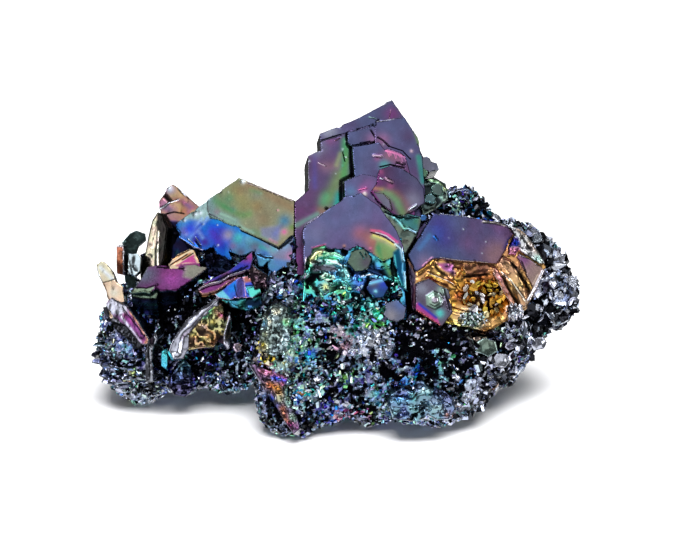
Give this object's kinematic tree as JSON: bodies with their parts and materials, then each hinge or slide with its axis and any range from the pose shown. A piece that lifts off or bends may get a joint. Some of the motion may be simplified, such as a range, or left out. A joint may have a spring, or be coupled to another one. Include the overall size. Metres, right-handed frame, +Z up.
{
  "type": "carborundum crystal",
  "caption": "Cluster of intergrown hexagonal silicon carbide plates with a tall stepped crystal, standing out of a rough granular crust.",
  "frame": {"origin": "on the surface it rests on, under the middle of the cluster's bounding box", "axes": "+Z up, +X along the cluster's length to the side of the recessed crystal, -Y the side the large plates face"},
  "size_m": [0.07, 0.0373, 0.0433],
  "materials": {
    "granular_crust": "sharp silver and black grains with blue and green tints, glinting",
    "iridescent_crystal": "smooth mirror-like crystal faces with purple, blue, green and gold interference colours"
  },
  "bodies": {
    "root": {"carborundum_cluster": "granular_crust"}
  },
  "joints": []
}
